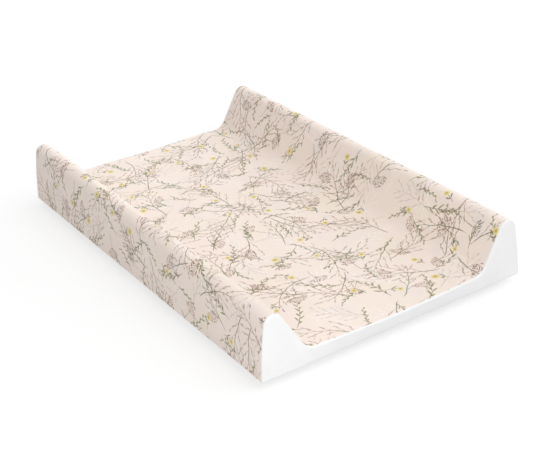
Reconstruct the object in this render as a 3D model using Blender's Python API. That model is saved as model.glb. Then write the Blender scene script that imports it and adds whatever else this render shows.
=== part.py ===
"""A hard changing pad: a stiff fibreboard base that carries a foam mattress slab between two foam
bolsters, wrapped in a printed wipe-clean cover with a white panel welded on at each end. Both are
folded under the board as hems. Four moulded stops screwed to the board keep the pad between the
rails of a cot.

Lengths are in metres and +Z is up. The origin is on the floor under the pad's middle, the
bolsters run along Y, and the foot end faces -Y."""

import math

import bmesh
import bpy
from mathutils import Vector

MM = 0.001

# Covered pad
PAD_LENGTH = 800 * MM  # at the sides and along the board
PAD_WIDTH = 500 * MM
PAD_HEIGHT = 107 * MM  # crest of a bolster above the pad's underside
LYING_HEIGHT = 28 * MM  # edge of the lying surface above the pad's underside
LYING_HOLLOW = 2.5 * MM  # how far the lying surface sinks towards its middle
END_BOW = 6 * MM  # how far the foam pushes the middle of an end out over the board

# Bolster, measured on the cover's outer face
BOLSTER_WIDTH = 81.5 * MM  # from the pad's side to where the inner slope would meet the lying surface
BOLSTER_LEAN = 10 * MM  # how far the outer face comes in on its way up to the crest
BOLSTER_BULGE_RADIUS = 800 * MM  # the outer face swells a little over its height
CREST_RADIUS = 16.5 * MM
VALLEY_RADIUS = 27 * MM

# Cover and end panels
FOIL = 0.8 * MM  # fleece-backed foil
AIR = 0.3 * MM  # clearance between pieces that touch on the real pad
END_RADIUS = 2.4 * MM  # rounded edge between an end face and the sides
RIM_DEPTH = 3 * MM  # how far an end panel reaches round the sides, up to the weld
HEM_DEPTH = 34 * MM  # how far an end panel is folded in under the board

# Base board
BOARD_THICKNESS = 5 * MM
BOARD_CORNER = 9 * MM
BOARD_SKIN = 0.8 * MM  # straight part of the edge, and wood left over a screw's point

# Cot stops
STOP_HEIGHT = 14 * MM
STOP_LENGTH = 58 * MM
STOP_WIDTH = 20 * MM
STOP_WALL = 2.4 * MM
STOP_RIB = 1.6 * MM
STOP_FOOT_ROUND = 1.6 * MM
STOP_END_OVERHANG = 105 * MM  # from the pad's end to the face that meets the cot's rail
STOP_SIDE_INSET = 82 * MM  # from the pad's side to the middle of a stop
SCREW_PITCH = 30 * MM
BOSS_WALL = 1.8 * MM

# Screws of the stops
SCREW_RADIUS = 1.75 * MM
SCREW_TIP_RADIUS = 0.3 * MM
SCREW_POINT = 2.5 * MM  # length of the tapered end
SCREW_HEAD_RADIUS = 3.5 * MM
SCREW_HEAD_HEIGHT = 2.4 * MM
SCREW_HEAD_ROUND = 1 * MM
SCREW_SINK = 4.6 * MM  # from the stop's foot up to the head

# Facets
FOLD_STEPS = 4
SIDE_STEPS = 6
CREST_STEPS = 14
VALLEY_STEPS = 7
LYING_STEPS = 16
END_STEPS = 3
CORNER_STEPS = 6
ROUND_STEPS = 16
SMOOTH_ANGLE = math.radians(30)

# Levels and depths that follow from the sizes above
COVERED = FOIL + AIR  # depth of the foam and board under the cover's outer face
EDGE_RADIUS = min(END_RADIUS, BOARD_THICKNESS - BOARD_SKIN)
FOLD_RADIUS = EDGE_RADIUS + COVERED
SEAM_GAP = AIR * math.sqrt(2)
BOARD_BOTTOM = STOP_HEIGHT + AIR
BOARD_TOP = BOARD_BOTTOM + BOARD_THICKNESS
FOAM_BOTTOM = BOARD_TOP + AIR
UNDERSIDE = BOARD_BOTTOM - COVERED
LYING = UNDERSIDE + LYING_HEIGHT
SIDE = PAD_WIDTH / 2
END = PAD_LENGTH / 2
HEM_EDGE = FOLD_RADIUS + HEM_DEPTH - RIM_DEPTH - SIDE
HEAD_SEAT = SCREW_SINK + SCREW_HEAD_HEIGHT
SCREW_TOP = BOARD_TOP - BOARD_SKIN - AIR
SCREW_HOLE_RADIUS = SCREW_RADIUS + AIR
HEAD_HOLE_RADIUS = SCREW_HEAD_RADIUS + 2 * AIR
BOSS_RADIUS = HEAD_HOLE_RADIUS + BOSS_WALL

# Linear colour, roughness and metallic value of each finish
FINISHES = {
    "printed_foil": ((0.82, 0.69, 0.61), 0.45, 0.0),
    "white_foil": ((0.87, 0.87, 0.87), 0.4, 0.0),
    "foam": ((0.86, 0.8, 0.6), 0.95, 0.0),
    "fibreboard": ((0.36, 0.24, 0.14), 0.8, 0.0),
    "white_polymer": ((0.85, 0.85, 0.84), 0.35, 0.0),
    "zinc_plate": ((0.6, 0.6, 0.58), 0.3, 1.0),
}


def clear_scene():
    for obj in list(bpy.data.objects):
        bpy.data.objects.remove(obj)


def material(name):
    """The Principled material of a finish, made the first time it is asked for."""
    found = bpy.data.materials.get(name)
    if found:
        return found
    colour, roughness, metallic = FINISHES[name]
    made = bpy.data.materials.new(name)
    made.use_nodes = True
    shader = made.node_tree.nodes["Principled BSDF"]
    shader.inputs["Base Color"].default_value = (*colour, 1)
    shader.inputs["Roughness"].default_value = roughness
    shader.inputs["Metallic"].default_value = metallic
    return made


def add_object(name, mesh, finish, parent, location=(0, 0, 0)):
    """An object for one piece, shaded smooth but for its real edges."""
    if not mesh.materials:
        mesh.materials.append(material(finish))
    mesh.shade_smooth()
    mesh.set_sharp_from_angle(angle=SMOOTH_ANGLE)
    obj = bpy.data.objects.new(name, mesh)
    bpy.context.scene.collection.objects.link(obj)
    obj.parent = parent
    obj.location = location
    return obj


def loft(name, rings, end_faces=None):
    """A closed mesh skinned over rings of equal count. One face closes the first ring and the last,
    or the faces that are given as places in a ring."""
    work = bmesh.new()
    rows = [[work.verts.new(point) for point in ring] for ring in rings]
    for low, high in zip(rows, rows[1:]):
        for i, vert in enumerate(low):
            before = i - 1
            work.faces.new((low[before], vert, high[i], high[before]))
    for places in end_faces or [range(len(rows[0]))]:
        for row in (rows[0], rows[-1]):
            work.faces.new([row[place] for place in places])
    bmesh.ops.recalc_face_normals(work, faces=work.faces)
    mesh = bpy.data.meshes.new(name)
    work.to_mesh(mesh)
    work.free()
    return mesh


def turned(name, profile):
    """A closed turned mesh from (radius, height) pairs, with a flat face over each end."""
    turns = [math.tau * i / ROUND_STEPS for i in range(ROUND_STEPS)]
    return loft(name, [[(r * math.cos(a), r * math.sin(a), height) for a in turns] for r, height in profile])


def arc(centre, radius, start, end, steps):
    """Points on an arc from one angle to another, both ends included."""
    angles = (start + (end - start) * i / steps for i in range(steps + 1))
    return [centre + radius * Vector((math.cos(a), math.sin(a))) for a in angles]


def angle_of(vector):
    return math.atan2(vector.y, vector.x) % math.tau


def touching_arc(first, first_radius, second, second_radius, radius):
    """Centre of the wide arc that two smaller circles touch from inside, to the right of the line
    between them."""
    along = second - first
    reach = radius - first_radius
    step = (reach**2 - (radius - second_radius) ** 2 + along.length_squared) / (2 * along.length)
    across = Vector((along.y, -along.x)).normalized()
    return first + step * along.normalized() + math.sqrt(reach**2 - step**2) * across


def cross_section():
    """Centres of the arcs in the left half of the pad's cross-section, and the angles at which
    they meet: fold, outer face, crest, inner slope and valley."""
    fold = Vector((FOLD_RADIUS - SIDE, UNDERSIDE + FOLD_RADIUS))
    crest = Vector((BOLSTER_LEAN + CREST_RADIUS - SIDE, UNDERSIDE + PAD_HEIGHT - CREST_RADIUS))
    face = touching_arc(fold, FOLD_RADIUS, crest, CREST_RADIUS, BOLSTER_BULGE_RADIUS)
    foot_of_slope = Vector((BOLSTER_WIDTH - SIDE, LYING))
    fall = foot_of_slope - crest
    inner = math.acos(CREST_RADIUS / fall.length) - math.atan2(-fall.y, fall.x)
    slope = math.pi / 2 - inner
    valley = foot_of_slope + Vector((VALLEY_RADIUS * math.tan(slope / 2), VALLEY_RADIUS))
    return {
        "fold": fold,
        "face": face,
        "crest": crest,
        "valley": valley,
        "fold_end": angle_of(fold - face),
        "face_end": angle_of(crest - face),
        "crest_end": inner,
    }


def face_angle(height, depth):
    """The angle on the outer face's arc that lies at a height."""
    return math.pi - math.asin((height - cross_section()["face"].y) / (BOLSTER_BULGE_RADIUS - depth))


def end_bow(point):
    """How far an end stands out at a point of the cross-section: most in the middle of the lying
    surface, and nothing under the crests and along the board."""
    section = cross_section()
    slope_top = section["crest"].x + CREST_RADIUS * math.cos(section["crest_end"])
    across = min(abs(point.x / slope_top), 1)
    rise = min((point.y - UNDERSIDE) / LYING_HEIGHT, 1)
    return END_BOW * (1 - across**2) * rise


def bolster_line(depth, start):
    """The left bolster's line at a depth under the cover's outer face, from an angle on the outer
    face to the edge of the lying surface."""
    section = cross_section()
    up = arc(section["face"], BOLSTER_BULGE_RADIUS - depth, start, section["face_end"], SIDE_STEPS)
    over = arc(section["crest"], CREST_RADIUS - depth, section["face_end"], section["crest_end"], CREST_STEPS)
    turn = (section["crest_end"] + math.pi, 3 * math.pi / 2)
    return up[:-1] + over + arc(section["valley"], VALLEY_RADIUS + depth, *turn, VALLEY_STEPS)


def lying_line(depth):
    """The lying surface between the bolsters at a depth, hollowed a little towards its middle."""
    edge = cross_section()["valley"].x
    shares = [i / LYING_STEPS for i in range(LYING_STEPS + 1)]
    sink = [LYING_HOLLOW * math.sin(math.pi * share) ** 2 for share in shares]
    return [Vector((edge * (1 - 2 * share), LYING - depth - drop)) for share, drop in zip(shares, sink)]


def mirrored(points):
    """The same points on the other side of the pad, in the order that carries the line on."""
    return [Vector((-p.x, p.y)) for p in reversed(points)]


def wrapped_line(depth):
    """The whole line of the cover at a depth, from hem edge to hem edge."""
    section = cross_section()
    fold = arc(section["fold"], FOLD_RADIUS - depth, 3 * math.pi / 2, section["fold_end"], FOLD_STEPS)
    half = [Vector((HEM_EDGE, UNDERSIDE + depth))] + fold[:-1] + bolster_line(depth, section["fold_end"])
    return half[:-1] + lying_line(depth) + mirrored(half[:-1])


def closed_below(line, first, last, height):
    """A ring that runs along a line and back at a lower level, below its points from first to
    last. Gives the ring and the faces that close it, one for each step between those points."""
    below = [Vector((p.x, height)) for p in reversed(line[first : last + 1])]
    count = len(line)
    turn = count + last
    faces = [(i, i + 1, turn - i - 1, turn - i) for i in range(first, last)]
    if first:
        faces.append((turn - first, *range(first + 1)))
    if last < count - 1:
        faces.append((*range(last, count), count))
    return line + below, faces


def rounded(radius, steps):
    """(depth, inward distance) pairs that roll a face over into its sides at a radius."""
    quarter = [math.pi / 2 * i / steps for i in range(steps + 1)]
    return [(radius * (1 - math.sin(a)), radius * (1 - math.cos(a))) for a in quarter]


def add_cover(parent):
    """The printed foil: one sheet over both bolsters and the mattress, hemmed under the sides."""
    outside, inside = wrapped_line(0), wrapped_line(FOIL)
    hem_ends = (0, len(outside) - 1)
    weld = END - RIM_DEPTH - SEAM_GAP
    rings = []
    for i, (out, under) in enumerate(zip(outside, inside)):
        drawn_in = HEM_DEPTH - RIM_DEPTH if i in hem_ends else 0
        edges = [(p, weld - drawn_in + end_bow(p)) for p in (out, under)]
        front = [(p.x, -y, p.y) for p, y in edges]
        rings.append(front + [(p.x, y, p.y) for p, y in reversed(edges)])
    add_object("printed_cover", loft("printed_cover", rings), "printed_foil", parent)


def end_panel_mesh(name, towards):
    """An end panel, from its outer face round the rim and the hem to its inner face."""
    slope_top = 1 + FOLD_STEPS + SIDE_STEPS + CREST_STEPS

    def outline(depth):
        line = wrapped_line(depth)
        return closed_below(line, slope_top, len(line) - 1 - slope_top, UNDERSIDE + depth)

    def ring(depth, inward, hem):
        points = outline(depth)[0]
        under_board = range(len(wrapped_line(depth)) - 1, len(points))
        inwards = [hem if i in (0, *under_board) else inward for i in range(len(points))]
        return [(p.x, towards * (END + end_bow(p) - back), p.y) for p, back in zip(points, inwards)]

    outside = [ring(depth, inward, inward) for depth, inward in rounded(END_RADIUS, END_STEPS)]
    rims = [ring(0, RIM_DEPTH, HEM_DEPTH), ring(FOIL, RIM_DEPTH, HEM_DEPTH)]
    inner_round = reversed(rounded(END_RADIUS - FOIL, END_STEPS))
    inside = [ring(FOIL + depth, FOIL + inward, FOIL + inward) for depth, inward in inner_round]
    return loft(name, outside + rims + inside, outline(0)[1])


def add_end_panels(parent):
    """White foil at each end, rounded over the edges to the weld and hemmed under the board."""
    for name, towards in (("front_end_panel", -1), ("rear_end_panel", 1)):
        add_object(name, end_panel_mesh(name, towards), "white_foil", parent)


def foam_places():
    """(depth, towards, inward) of the rings along a foam piece, whose ends are rounded over."""
    edge = rounded(END_RADIUS - COVERED, END_STEPS)
    front = [(COVERED + depth, -1, COVERED + inward) for depth, inward in edge]
    return front + [(depth, 1, inward) for depth, _, inward in reversed(front)]


def foam_mesh(name, line_at, first, hand=1):
    """A foam piece under the line that a function gives for a depth, flat on the board."""
    rings = []
    for depth, towards, inward in foam_places():
        line = line_at(depth)
        ring, faces = closed_below(line, first, len(line) - 1, FOAM_BOTTOM)
        rings.append([(hand * p.x, towards * (END + end_bow(p) - inward), p.y) for p in ring])
    return loft(name, rings, faces)


def add_bolsters(parent):
    """A foam bolster on each long side, with a curved toe that meets the mattress slab."""

    def line_at(depth):
        return bolster_line(depth, face_angle(FOAM_BOTTOM, depth))

    for name, hand in (("left_bolster_foam", 1), ("right_bolster_foam", -1)):
        add_object(name, foam_mesh(name, line_at, SIDE_STEPS + CREST_STEPS, hand), "foam", parent)


def add_mattress(parent):
    """The foam slab of the lying surface, between the bolsters' toes."""
    edge = cross_section()["valley"].x
    narrowed = (edge + AIR) / edge

    def line_at(depth):
        return [Vector((p.x * narrowed, p.y)) for p in lying_line(depth)]

    add_object("mattress_foam", foam_mesh("mattress_foam", line_at, 0), "foam", parent)


def rounded_rectangle(half_x, half_y, radius):
    points = []
    for i, (x, y) in enumerate(((1, 1), (-1, 1), (-1, -1), (1, -1))):
        centre = Vector((x * (half_x - radius), y * (half_y - radius)))
        start = i * math.pi / 2
        points += arc(centre, radius, start, start + math.pi / 2, CORNER_STEPS)
    return points


def stop_places():
    """Name and centre of each cot stop, whose outer long face is set by the overhang."""
    x = SIDE - STOP_SIDE_INSET
    y = END - STOP_END_OVERHANG - STOP_WIDTH / 2
    return {
        "front_left": Vector((-x, -y, 0)),
        "front_right": Vector((x, -y, 0)),
        "rear_left": Vector((-x, y, 0)),
        "rear_right": Vector((x, y, 0)),
    }


def screw_places():
    """Name and axis of each of the stops' screws."""
    found = {}
    for corner, middle in stop_places().items():
        for hand, along in (("a", -SCREW_PITCH / 2), ("b", SCREW_PITCH / 2)):
            found[f"stop_screw_{corner}_{hand}"] = middle + Vector((along, 0, 0))
    return found


def helper(mesh, location=(0, 0, 0)):
    """A stand-in for a cut, which takes no part in the finished model."""
    obj = bpy.data.objects.new("cutter", mesh)
    bpy.context.scene.collection.objects.link(obj)
    obj.location = location
    obj.hide_render = True
    obj.display_type = "WIRE"
    return obj


def cut(obj, cutters, operation="DIFFERENCE"):
    """The mesh of a helper with the others removed from it or joined to it. All are used up."""
    for cutter in cutters:
        modifier = obj.modifiers.new(operation.lower(), "BOOLEAN")
        modifier.operation = operation
        modifier.object = cutter
    bpy.context.view_layer.update()
    graph = bpy.context.evaluated_depsgraph_get()
    result = bpy.data.meshes.new_from_object(obj.evaluated_get(graph))
    for used in [obj, *cutters]:
        bpy.data.objects.remove(used)
    return result


def add_board(parent):
    """The stiff base, with its lower edge eased for the foil and blind holes for the screws."""
    half_x = -bolster_line(COVERED, face_angle(BOARD_TOP, COVERED))[0].x
    half_y = END - COVERED
    rings = []
    for inset, rise in rounded(EDGE_RADIUS, END_STEPS):
        outline = rounded_rectangle(half_x - inset, half_y - inset, BOARD_CORNER - inset)
        rings.append([(p.x, p.y, BOARD_BOTTOM + rise) for p in outline])
    rings.append([(p.x, p.y, BOARD_TOP) for p in outline])
    drill = turned("drill", [(SCREW_HOLE_RADIUS, UNDERSIDE), (SCREW_HOLE_RADIUS, SCREW_TOP + AIR)])
    drills = [helper(drill, place) for place in screw_places().values()]
    mesh = cut(helper(loft("base_board", rings)), drills)
    add_object("base_board", mesh, "fibreboard", parent)


def stop_outline(inset):
    """The stop's outline: a half circle on each end of a straight bar."""
    radius = STOP_WIDTH / 2 - inset
    middle = Vector(((STOP_LENGTH - STOP_WIDTH) / 2, 0))
    right = arc(middle, radius, -math.pi / 2, math.pi / 2, 2 * CORNER_STEPS)
    return right + arc(-middle, radius, math.pi / 2, 3 * math.pi / 2, 2 * CORNER_STEPS)


def stop_cup():
    """The stop's walls and foot, rounded at the foot and open towards the board."""
    rings = []
    for inset, rise in rounded(STOP_FOOT_ROUND, END_STEPS):
        rings.append([(p.x, p.y, rise) for p in stop_outline(inset)])
    rings.append([(p.x, p.y, STOP_HEIGHT) for p in stop_outline(0)])
    rings.append([(p.x, p.y, STOP_HEIGHT) for p in stop_outline(STOP_WALL)])
    rings.append([(p.x, p.y, STOP_WALL) for p in stop_outline(STOP_WALL)])
    return loft("cot_stop", rings)


def stop_rib():
    """A rib along the stop, from wall to wall through both bosses."""
    reach, half = (STOP_LENGTH - STOP_WALL) / 2, STOP_RIB / 2
    outline = [(-reach, -half), (reach, -half), (reach, half), (-reach, half)]
    levels = (STOP_WALL / 2, STOP_HEIGHT - STOP_RIB)
    return loft("rib", [[(x, y, height) for x, y in outline] for height in levels])


def stop_mesh():
    """A moulded stop: a long cup with a rib and with a counterbored boss for each screw."""
    middles = [Vector((side * SCREW_PITCH / 2, 0, 0)) for side in (-1, 1)]
    boss = turned("boss", [(BOSS_RADIUS, STOP_WALL / 2), (BOSS_RADIUS, STOP_HEIGHT)])
    shoulder = HEAD_SEAT + AIR
    bore = turned("bore", [(HEAD_HOLE_RADIUS, -STOP_WALL), (HEAD_HOLE_RADIUS, shoulder),
                           (SCREW_HOLE_RADIUS, shoulder), (SCREW_HOLE_RADIUS, STOP_HEIGHT + STOP_WALL)])
    inner = [helper(stop_rib())] + [helper(boss, place) for place in middles]
    joined = cut(helper(stop_cup()), inner, "UNION")
    return cut(helper(joined), [helper(bore, place) for place in middles])


def add_stops(parent):
    mesh = stop_mesh()
    for corner, middle in stop_places().items():
        add_object(f"cot_stop_{corner}", mesh, "white_polymer", parent, middle)


def screw_mesh():
    """A pan-head screw that stands on its head, with its point up in the board."""
    rim = Vector((SCREW_HEAD_RADIUS - SCREW_HEAD_ROUND, SCREW_SINK + SCREW_HEAD_ROUND))
    profile = [(p.x, p.y) for p in arc(rim, SCREW_HEAD_ROUND, -math.pi / 2, 0, END_STEPS)]
    profile += [(SCREW_HEAD_RADIUS, HEAD_SEAT), (SCREW_RADIUS, HEAD_SEAT)]
    profile += [(SCREW_RADIUS, SCREW_TOP - SCREW_POINT), (SCREW_TIP_RADIUS, SCREW_TOP)]
    return turned("stop_screw", profile)


def add_screws(parent):
    mesh = screw_mesh()
    for name, place in screw_places().items():
        add_object(name, mesh, "zinc_plate", parent, place)


def main():
    clear_scene()
    pad = bpy.data.objects.new("changing_pad", None)
    bpy.context.scene.collection.objects.link(pad)
    add_board(pad)
    add_mattress(pad)
    add_bolsters(pad)
    add_cover(pad)
    add_end_panels(pad)
    add_stops(pad)
    add_screws(pad)


main()
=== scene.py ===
"""Looks of a hard changing pad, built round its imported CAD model.

The foil, the panels and the foam replace their CAD solids. The board keeps its own, and the
stops and screws get finer copies. Lengths are in metres in the CAD model's frame: +Y along the
pad towards its head end, +Z up, and the floor under the stops at zero."""

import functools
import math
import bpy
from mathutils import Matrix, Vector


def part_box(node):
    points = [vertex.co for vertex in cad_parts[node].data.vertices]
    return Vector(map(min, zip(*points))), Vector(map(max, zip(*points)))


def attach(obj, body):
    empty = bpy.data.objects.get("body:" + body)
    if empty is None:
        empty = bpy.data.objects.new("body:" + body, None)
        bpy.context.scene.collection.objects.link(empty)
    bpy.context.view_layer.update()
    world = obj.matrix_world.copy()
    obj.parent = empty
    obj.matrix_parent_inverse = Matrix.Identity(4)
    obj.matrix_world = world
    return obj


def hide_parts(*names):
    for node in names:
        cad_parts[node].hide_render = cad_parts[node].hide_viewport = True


bl_info = {
    "name": "Hard changing pad",
    "version": (1, 0, 0),
    "blender": (4, 5, 0),
    "location": "View3D > Sidebar > Changing pad",
    "description": "Builds the foil, foam, board, stops and fixings of a hard changing pad",
    "category": "Object",
}

import bmesh
import bpy
import numpy as np
from mathutils import Vector, noise

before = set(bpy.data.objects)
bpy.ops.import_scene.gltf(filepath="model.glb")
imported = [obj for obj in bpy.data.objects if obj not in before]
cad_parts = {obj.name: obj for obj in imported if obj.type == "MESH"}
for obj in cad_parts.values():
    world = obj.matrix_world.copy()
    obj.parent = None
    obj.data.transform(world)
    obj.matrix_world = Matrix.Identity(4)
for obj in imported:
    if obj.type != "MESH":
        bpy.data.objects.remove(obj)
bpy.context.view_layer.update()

MM = 0.001
# Points nearer than this count as one
NEAR = 0.01 * MM
PAD_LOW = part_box("front_end_panel")[0]
PAD_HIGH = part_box("rear_end_panel")[1]
BOARD_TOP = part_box("base_board")[1]
STOPS = {name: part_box(name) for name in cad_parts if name.startswith("cot_stop")}
SCREWS = {name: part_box(name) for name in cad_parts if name.startswith("stop_screw")}
BODY = "root"


def number(name, description, default, **others):
    return bpy.props.FloatProperty(name=name, description=description, default=default, **others)


def numbers(name, description, default, **others):
    return bpy.props.FloatVectorProperty(name=name, description=description, default=default, **others)


def length(name, description, default_mm):
    return number(name, description, default_mm * MM, unit="LENGTH", subtype="DISTANCE")


def position(name, description, default):
    return numbers(name, description, default, unit="LENGTH", subtype="TRANSLATION")


def linear(code):
    """A linear colour from an sRGB hex code."""
    parts = [int(code[i : i + 2], 16) / 255 for i in (1, 3, 5)]
    return [p / 12.92 if p <= 0.04045 else ((p + 0.055) / 1.055) ** 2.4 for p in parts]


def colour(name, description, code):
    return numbers(name, description, linear(code), subtype="COLOR", min=0, max=1)


class PadShape(bpy.types.PropertyGroup):
    """Sizes of the covered pad that its outer box doesn't give."""

    lying_height: length("Lying height", "Lying surface above the pad's underside", 28)
    lying_hollow: length("Hollow", "How far the lying surface sinks in the middle", 2.5)
    end_bow: length("End bow", "How far the middle of an end stands out over the board", 6)
    bolster_width: length("Bolster width", "Side of the pad to the foot of the inner slope", 81.5)
    bolster_lean: length("Bolster lean", "How far the outer face comes in at the crest", 10)
    bulge_radius: length("Bulge radius", "Radius of the outer face", 800)
    crest_radius: length("Crest radius", "Radius over the top of a bolster", 16.5)
    valley_radius: length("Valley radius", "Radius where a bolster meets the lying surface", 27)
    fold_radius: length("Fold radius", "Radius of the foil's fold under the side", 3.5)
    end_radius: length("End radius", "Rounded edge between an end and the sides", 2.4)
    rim_depth: length("Rim depth", "How far the end panels reach round the sides", 3)
    hem_depth: length("Hem depth", "How far the end panels are folded under the board", 34)
    seam_gap: length("Seam gap", "Gap between the printed foil and a panel, filled by the weld", 0.42)
    foil: length("Foil", "Thickness of the fleece-backed foil", 0.8)
    air: length("Clearance", "Gap between the foil and what it covers", 0.3)
    weld_dip: length("Weld dip", "How far the foil sinks into its weld", 0.35)
    weld_reach: length("Weld reach", "Width of the sunk edge beside the weld", 1.6)
    ripple: length("Ripple", "Height of the foil's slight waves", 0.45)
    pucker: length("Pucker", "Height of the small puckers along the weld", 0.22)
    puff: length("Puff", "How far an end panel swells over the foam", 0.7)


class PadColours(bpy.types.PropertyGroup):
    """Colours of the foils, of the inks of their print, and of the parts underneath."""

    ground: colour("Ground", "Blush ground of the print", "#FAEBE1")
    ground_cream: colour("Cream wash", "Pale cream wash in the ground", "#F8EBDC")
    ground_grey: colour("Grey wash", "Pale grey-mauve wash in the ground", "#F0E7E2")
    ghost: colour("Far sprays", "Faint beige sprays behind the others", "#D2C1B7")
    pale: colour("Pale sprays", "White sprays behind the others", "#FFFBF7")
    stem: colour("Stems", "Olive of the stems", "#6C643A")
    twig: colour("Twigs", "Brown-olive of the thin twigs", "#937D5E")
    leaf: colour("Leaves", "Sage green of the leaves", "#919559")
    leaf_dark: colour("Leaf shade", "Darker green at a leaf's foot", "#6B6F40")
    bud: colour("Buds", "Mauve of the buds", "#8F7170")
    bud_pink: colour("Pink buds", "Dusty pink of other buds", "#B28374")
    petal: colour("Petals", "Yellow of the petals", "#E4CE80")
    petal_pale: colour("Petal edge", "Paler yellow at a petal's edge", "#F2E6BC")
    heart: colour("Heart", "Ochre of a flower's heart", "#C2A254")
    white_foil: colour("White foil", "Foil of the end panels", "#F8F8F8")
    fleece: colour("Fleece", "Backing of the foils", "#EFEDE8")
    foam: colour("Foam", "Polyurethane foam", "#F1E7C4")
    board: colour("Board", "Pressed fibreboard", "#9C7A56")
    board_dark: colour("Board fibres", "Dark fibres in the board", "#6F5236")
    polymer: colour("Stops", "Moulded polypropylene", "#EEEEEB")
    zinc: colour("Zinc", "Zinc plate on screws and staples", "#C9CBC8")
    zinc_blue: colour("Zinc tint", "Passivated tint of the zinc plate", "#B9C0C6")
    floor: colour("Floor", "Floor and backdrop", "#DADADA")


class PadFixings(bpy.types.PropertyGroup):
    """Sizes of the stops, the screws and the staples."""

    stop_wall: length("Stop wall", "Wall and foot of a stop", 2.4)
    stop_round: length("Foot rounding", "Rounded edge round a stop's foot", 1.6)
    stop_rib: length("Rib", "Thickness of the rib along the inside of a stop", 1.6)
    boss_wall: length("Boss wall", "Wall round a screw's counterbore", 1.8)
    bore_gap: length("Bore gap", "Gap between a screw's head and its counterbore", 0.6)
    bore_chamfer: length("Bore chamfer", "Chamfer round the mouth of a counterbore", 0.5)
    shank_radius: length("Shank radius", "Radius of a screw over its thread", 1.75)
    core_radius: length("Core radius", "Radius of a screw under its thread", 1.2)
    thread_pitch: length("Thread pitch", "Rise of the thread in one turn", 1.3)
    point: length("Point", "Length of a screw's tapered end", 2.5)
    head_height: length("Head height", "Height of a screw's pan head", 2.4)
    head_round: length("Head rounding", "Rounded edge of the pan head", 1)
    recess_width: length("Recess width", "Width of the cross recess's arms", 0.9)
    recess_length: length("Recess length", "Length of the cross recess across the head", 3.8)
    recess_depth: length("Recess depth", "Depth of the cross recess", 1.3)
    staple_crown: length("Staple crown", "Length of a staple's back", 10)
    staple_leg: length("Staple leg", "Length of a staple's legs", 5)
    staple_wire: length("Staple wire", "Thickness of a staple's wire", 0.6)
    staple_width: length("Staple width", "Width of a staple's flattened wire", 1.1)
    staple_sink: length("Staple sink", "How far a staple's back is pressed into the foil", 0.35)
    staple_spacing: length("Staple spacing", "Greatest distance between staples", 60)
    staple_inset: length("Staple inset", "Distance of a staple from the hem's edge", 9)
    staple_corner: length("Staple corner", "Distance of the last staple from the pad's corner", 48)


class PadStage(bpy.types.PropertyGroup):
    """Camera and lights."""

    camera_place: position("Camera place", "Where the photograph was taken from", (-0.9843, -1.6582, 1.0232))
    camera_turn: numbers(
        "Camera turn", "How the camera is turned",
        [math.radians(angle) for angle in (62.01, 3.611, -33.524)], subtype="EULER",
    )
    lens: number("Lens", "Focal length in mm on a 36 mm sensor", 79.65)
    sky: number("Sky", "Strength of the even light from all sides", 0.49)
    key: number("Key", "Strength of the soft light from above", 1.15)
    key_from: numbers(
        "Key from", "Where the soft light from above comes from", (0.34, -0.45, 0.83), subtype="DIRECTION"
    )
    key_spread: number(
        "Key spread", "Angle over which the soft light is spread", math.radians(50), subtype="ANGLE"
    )
    left_box: number("Left softbox", "Power of the softbox at the front left", 10.6, unit="POWER")
    left_place: position("Left place", "Place of the softbox at the front left", (-1.15, -1.65, 0.7))
    right_box: number("Right softbox", "Power of the softbox on the right", 11.7, unit="POWER")
    right_place: position("Right place", "Place of the softbox on the right", (2.2, 0.5, 1.2))
    rear_box: number("Rear softbox", "Power of the softbox behind the head end", 4.8, unit="POWER")
    rear_place: position("Rear place", "Place of the softbox behind the head end", (0.9, 2.4, 0.4))
    box_width: length("Softbox width", "Width of a softbox", 1300)
    floor_reach: length("Floor reach", "Half the width of the floor", 6000)
    floor_glow: number("Floor glow", "Light that the camera sees in the floor beside the shadow", 1.36)
    floor_drop: length("Floor drop", "Gap between the floor and the stops' feet", 0.15)


# Shared mesh code


def settle(piece, materials, replaced):
    """Gives a piece its materials, rides it on the pad, and lets it stand for CAD nodes."""
    piece.data.materials.clear()
    for made in materials:
        piece.data.materials.append(made)
    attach(piece, BODY)
    if replaced:
        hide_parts(*replaced)


def placed(name, mesh, materials, replaced=()):
    """A new piece whose place is in its mesh."""
    piece = bpy.data.objects.new(name, mesh)
    bpy.context.scene.collection.objects.link(piece)
    settle(piece, materials, replaced)
    return piece


def alone(piece):
    """Selects one object only and makes it the active one."""
    bpy.ops.object.select_all(action="DESELECT")
    piece.select_set(True)
    bpy.context.view_layer.objects.active = piece
    return piece


def apply_modifiers(piece):
    alone(piece)
    for modifier in list(piece.modifiers):
        bpy.ops.object.modifier_apply(modifier=modifier.name)


def started():
    """The primitive or copy that was just added, with its place and size in its mesh."""
    piece = alone(bpy.context.active_object)
    bpy.ops.object.transform_apply(location=True, rotation=True, scale=True)
    return piece


def block(low, high):
    """A cuboid between two corners."""
    bpy.ops.mesh.primitive_cube_add(size=1, location=(low + high) / 2, scale=high - low)
    return started()


def turned(centre, line, sides):
    """A turned solid: a disc that is extruded and resized along a line of radii and heights."""
    (radius, height), *others = line
    place = Vector((*centre, height))
    bpy.ops.mesh.primitive_circle_add(vertices=sides, radius=radius, fill_type="NGON", location=place)
    piece = started()
    bpy.ops.object.mode_set(mode="EDIT")
    bpy.ops.mesh.select_all(action="SELECT")
    for wide, high in others:
        bpy.ops.mesh.extrude_region_move(TRANSFORM_OT_translate={"value": (0, 0, high - height)})
        growth = wide / radius
        bpy.ops.transform.resize(value=(growth, growth, 1), center_override=(*centre, high))
        radius, height = wide, high
    bpy.ops.mesh.select_all(action="SELECT")
    bpy.ops.mesh.normals_make_consistent(inside=False)
    bpy.ops.object.mode_set(mode="OBJECT")
    return piece


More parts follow.
